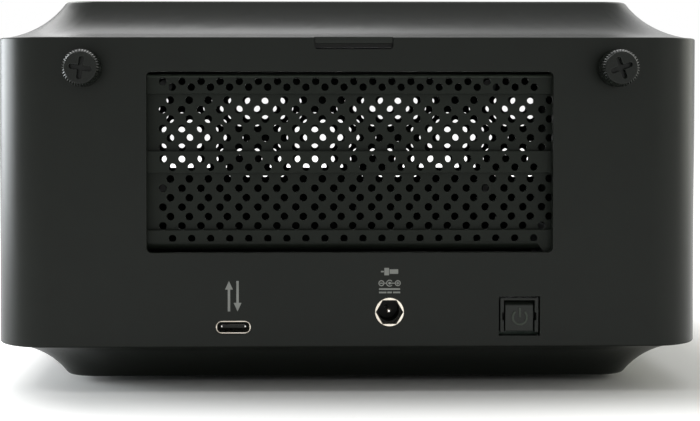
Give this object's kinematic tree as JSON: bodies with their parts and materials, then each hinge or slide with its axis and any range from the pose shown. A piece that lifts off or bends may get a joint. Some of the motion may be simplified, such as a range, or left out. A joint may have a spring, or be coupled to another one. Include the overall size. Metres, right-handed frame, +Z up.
{
  "type": "external graphics card enclosure",
  "caption": "Low black box with a coved lid and plinth, vented card slots behind a rear window, knurled lid screws, and a data port, power inlet and push switch on its rear panel.",
  "frame": {"origin": "On the floor, under the middle of the whole box, thumbscrew heads included.", "axes": "+Z is up, -Y is the way the rear panel faces, and +X is to the right seen from the rear."},
  "size_m": [0.183, 0.1982, 0.1011],
  "materials": {
    "sleeve_black": "satin black coated sleeve",
    "cover_black": "satin black moulding",
    "sheet_black": "black painted sheet steel",
    "thumbscrew_black": "black oxide steel",
    "foot_rubber": "moulded rubber",
    "tray_steel": "bare sheet steel",
    "screw_steel": "plated steel",
    "board_green": "circuit board with solder mask",
    "standoff_brass": "turned brass",
    "port_metal": "plated steel",
    "pin_metal": "plated pin",
    "port_insulator": "moulded insulator",
    "switch_black": "moulded switch housing",
    "button_black": "moulded button cap",
    "socket_black": "moulded socket",
    "chip_black": "moulded chip package",
    "sink_aluminium": "extruded aluminium",
    "can_aluminium": "drawn can",
    "coil_grey": "pressed powder core"
  },
  "bodies": {
    "enclosure": {"outer_band": "sleeve_black", "top_lid": "cover_black", "base_plinth": "cover_black", "foot_rear_left": "foot_rubber", "foot_rear_right": "foot_rubber", "foot_front_left": "foot_rubber", "foot_front_right": "foot_rubber", "base_screws": "screw_steel", "rear_bracket": "sheet_black", "bracket_screws": "screw_steel", "slot_cover_upper": "sheet_black", "slot_cover_lower": "sheet_black", "slot_cover_screws": "screw_steel", "front_grille": "sheet_black", "grille_screws": "screw_steel", "chassis_tray": "tray_steel", "band_screws": "screw_steel", "board_standoffs": "standoff_brass", "main_board": "board_green", "board_screws": "screw_steel", "usb_c_shell": "port_metal", "usb_c_tongue": "port_insulator", "inlet_body": "port_insulator", "inlet_sleeve": "port_metal", "inlet_pin": "pin_metal", "switch_frame": "switch_black", "switch_body": "switch_black", "riser_socket": "socket_black", "riser_board": "board_green", "card_slot": "socket_black", "controller_chip": "chip_black", "controller_sink": "sink_aluminium", "power_coils": "coil_grey", "capacitors": "can_aluminium", "card_power_header": "socket_black"},
    "thumbscrew_left": {"thumbscrew_left": "thumbscrew_black"},
    "thumbscrew_right": {"thumbscrew_right": "thumbscrew_black"},
    "power_button": {"power_button": "button_black"}
  },
  "joints": [
    {"name": "left_screw_turn", "type": "hinge", "parent": "enclosure", "child": "thumbscrew_left", "pos_m": [-0.06775, -0.09095, 0.083], "axis": [0, 1, 0], "continuous": true},
    {"name": "right_screw_turn", "type": "hinge", "parent": "enclosure", "child": "thumbscrew_right", "pos_m": [0.06775, -0.09095, 0.083], "axis": [0, 1, 0], "continuous": true},
    {"name": "button_press", "type": "slide", "parent": "enclosure", "child": "power_button", "axis": [0, 1, 0], "range_m": [0, 0.0015], "stiffness_N_per_m": 600}
  ]
}
